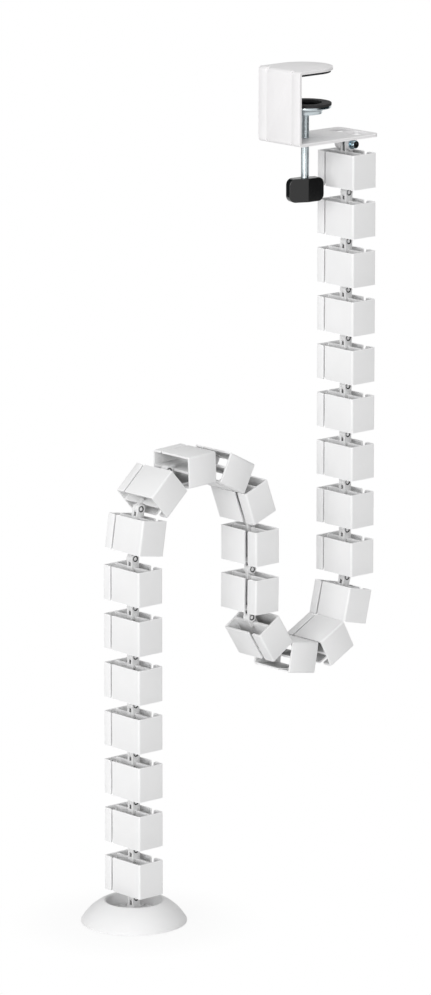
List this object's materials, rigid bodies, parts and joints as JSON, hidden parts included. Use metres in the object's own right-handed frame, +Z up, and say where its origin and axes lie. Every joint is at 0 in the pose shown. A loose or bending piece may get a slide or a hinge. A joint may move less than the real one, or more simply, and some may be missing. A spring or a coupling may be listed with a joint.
{
  "type": "cable spine",
  "caption": "Desk cable spine: a screw clamp with a hanging chain of hinged open links and a round weighted base.",
  "frame": {"origin": "on the clamp screw's axis, in the underside of the jaw pad, where the desk top's surface is", "axes": "+Z up, +X from the clamp's back plate to the chain, hinge axes along Y"},
  "size_m": [0.3514, 0.1044, 0.8287],
  "materials": {
    "white_plastic": "satin",
    "white_powder_coat": "satin",
    "zinc_steel": "satin",
    "black_plastic": "satin",
    "black_rubber": "matte",
    "plain_steel": "matte"
  },
  "bodies": {
    "bracket": {"clamp_bracket": "white_powder_coat", "jaw_pad": "black_rubber", "hanger_fork": "white_powder_coat", "hinge_bolt": "zinc_steel", "hinge_washer": "zinc_steel", "hinge_nut": "zinc_steel"},
    "clamp_pad": {"pad_cup": "zinc_steel", "pad_ring": "black_rubber"},
    "clamp_screw": {"clamp_screw": "zinc_steel", "wing_knob": "black_plastic"},
    "link_01": {"link_01": "white_plastic"},
    "link_02": {"link_02": "white_plastic"},
    "link_03": {"link_03": "white_plastic"},
    "link_04": {"link_04": "white_plastic"},
    "link_05": {"link_05": "white_plastic"},
    "link_06": {"link_06": "white_plastic"},
    "link_07": {"link_07": "white_plastic"},
    "link_08": {"link_08": "white_plastic"},
    "link_09": {"link_09": "white_plastic"},
    "link_10": {"link_10": "white_plastic"},
    "link_11": {"link_11": "white_plastic"},
    "link_12": {"link_12": "white_plastic"},
    "link_13": {"link_13": "white_plastic"},
    "link_14": {"link_14": "white_plastic"},
    "link_15": {"link_15": "white_plastic"},
    "link_16": {"link_16": "white_plastic"},
    "link_17": {"link_17": "white_plastic"},
    "link_18": {"link_18": "white_plastic"},
    "link_19": {"link_19": "white_plastic"},
    "link_20": {"link_20": "white_plastic"},
    "link_21": {"link_21": "white_plastic"},
    "link_22": {"link_22": "white_plastic"},
    "link_23": {"link_23": "white_plastic"},
    "link_24": {"link_24": "white_plastic"},
    "link_25": {"link_25": "white_plastic"},
    "link_26": {"link_26": "white_plastic"},
    "link_27": {"link_27": "white_plastic"},
    "base": {"base_cover": "white_plastic", "base_weight": "plain_steel", "base_plate": "white_plastic", "base_feet": "black_rubber", "base_screws": "zinc_steel"}
  },
  "joints": [
    {"name": "hinge_00", "type": "hinge", "parent": "bracket", "child": "link_01", "pos_m": [0.0562, 0, -0.0774], "axis": [0, 1, 0], "range_deg": [-50, 18]},
    {"name": "hinge_01", "type": "hinge", "parent": "link_01", "child": "link_02", "pos_m": [0.0562, 0, -0.1264], "axis": [0, -1, 0], "range_deg": [-50, 50]},
    {"name": "hinge_02", "type": "hinge", "parent": "link_02", "child": "link_03", "pos_m": [0.0562, 0, -0.1754], "axis": [0, 1, 0], "range_deg": [-50, 50]},
    {"name": "hinge_03", "type": "hinge", "parent": "link_03", "child": "link_04", "pos_m": [0.0562, 0, -0.2244], "axis": [0, -1, 0], "range_deg": [-50, 50]},
    {"name": "hinge_04", "type": "hinge", "parent": "link_04", "child": "link_05", "pos_m": [0.0562, 0, -0.2734], "axis": [0, 1, 0], "range_deg": [-50, 50]},
    {"name": "hinge_05", "type": "hinge", "parent": "link_05", "child": "link_06", "pos_m": [0.0562, 0, -0.3224], "axis": [0, -1, 0], "range_deg": [-50, 50]},
    {"name": "hinge_06", "type": "hinge", "parent": "link_06", "child": "link_07", "pos_m": [0.0562, 0, -0.3714], "axis": [0, 1, 0], "range_deg": [-50, 50]},
    {"name": "hinge_07", "type": "hinge", "parent": "link_07", "child": "link_08", "pos_m": [0.0562, 0, -0.4204], "axis": [0, -1, 0], "range_deg": [-50, 50]},
    {"name": "hinge_08", "type": "hinge", "parent": "link_08", "child": "link_09", "pos_m": [0.0562, 0, -0.4694], "axis": [0, 1, 0], "range_deg": [-50, 50]},
    {"name": "hinge_09", "type": "hinge", "parent": "link_09", "child": "link_10", "pos_m": [0.0562, 0, -0.5184], "axis": [0, -1, 0], "range_deg": [-36.9, 63.1]},
    {"name": "hinge_10", "type": "hinge", "parent": "link_10", "child": "link_11", "pos_m": [0.04509, 0, -0.56612], "axis": [0, 1, 0], "range_deg": [-99.2, 0.8]},
    {"name": "hinge_11", "type": "hinge", "parent": "link_11", "child": "link_12", "pos_m": [0.00171, 0, -0.5889], "axis": [0, -1, 0], "range_deg": [-12.4, 87.6]},
    {"name": "hinge_12", "type": "hinge", "parent": "link_12", "child": "link_13", "pos_m": [-0.04656, 0, -0.58048], "axis": [0, 1, 0], "range_deg": [-97.5, 2.5]},
    {"name": "hinge_13", "type": "hinge", "parent": "link_13", "child": "link_14", "pos_m": [-0.07296, 0, -0.5392], "axis": [0, -1, 0], "range_deg": [-16.5, 83.5]},
    {"name": "hinge_14", "type": "hinge", "parent": "link_14", "child": "link_15", "pos_m": [-0.07219, 0, -0.4902], "axis": [0, 1, 0], "range_deg": [-48.7, 51.3]},
    {"name": "hinge_15", "type": "hinge", "parent": "link_15", "child": "link_16", "pos_m": [-0.07253, 0, -0.44121], "axis": [0, -1, 0], "range_deg": [-69.8, 30.2]},
    {"name": "hinge_16", "type": "hinge", "parent": "link_16", "child": "link_17", "pos_m": [-0.08945, 0, -0.39522], "axis": [0, 1, 0], "range_deg": [-7.8, 92.2]},
    {"name": "hinge_17", "type": "hinge", "parent": "link_17", "child": "link_18", "pos_m": [-0.13288, 0, -0.37252], "axis": [0, -1, 0], "range_deg": [-80, 20]},
    {"name": "hinge_18", "type": "hinge", "parent": "link_18", "child": "link_19", "pos_m": [-0.18183, 0, -0.37457], "axis": [0, 1, 0], "range_deg": [-10.5, 89.5]},
    {"name": "hinge_19", "type": "hinge", "parent": "link_19", "child": "link_20", "pos_m": [-0.2183, 0, -0.40729], "axis": [0, -1, 0], "range_deg": [-89.1, 10.9]},
    {"name": "hinge_20", "type": "hinge", "parent": "link_20", "child": "link_21", "pos_m": [-0.22597, 0, -0.45569], "axis": [0, 1, 0], "range_deg": [-41, 59]},
    {"name": "hinge_21", "type": "hinge", "parent": "link_21", "child": "link_22", "pos_m": [-0.22597, 0, -0.50469], "axis": [0, -1, 0], "range_deg": [-50, 50]},
    {"name": "hinge_22", "type": "hinge", "parent": "link_22", "child": "link_23", "pos_m": [-0.22597, 0, -0.55369], "axis": [0, 1, 0], "range_deg": [-50, 50]},
    {"name": "hinge_23", "type": "hinge", "parent": "link_23", "child": "link_24", "pos_m": [-0.22597, 0, -0.60269], "axis": [0, -1, 0], "range_deg": [-50, 50]},
    {"name": "hinge_24", "type": "hinge", "parent": "link_24", "child": "link_25", "pos_m": [-0.22597, 0, -0.65169], "axis": [0, 1, 0], "range_deg": [-50, 50]},
    {"name": "hinge_25", "type": "hinge", "parent": "link_25", "child": "link_26", "pos_m": [-0.22597, 0, -0.70069], "axis": [0, -1, 0], "range_deg": [-50, 50]},
    {"name": "hinge_26", "type": "hinge", "parent": "link_26", "child": "link_27", "pos_m": [-0.22597, 0, -0.74969], "axis": [0, 1, 0], "range_deg": [-50, 50]},
    {"name": "hinge_27", "type": "hinge", "parent": "link_27", "child": "base", "pos_m": [-0.22597, 0, -0.79869], "axis": [0, -1, 0], "range_deg": [-25, 25]},
    {"name": "pad_slide", "type": "slide", "parent": "bracket", "child": "clamp_pad", "axis": [0, 0, 1], "range_m": [-0.022, 0.03]},
    {"name": "screw_turn", "type": "hinge", "parent": "clamp_pad", "child": "clamp_screw", "pos_m": [0, 0, -0.0416], "axis": [0, 0, 1], "range_deg": [-6337, 8641]}
  ],
  "couplings": [
    {"joint": "screw_turn", "follows": "pad_slide", "rad_per_m": 5026.5}
  ]
}
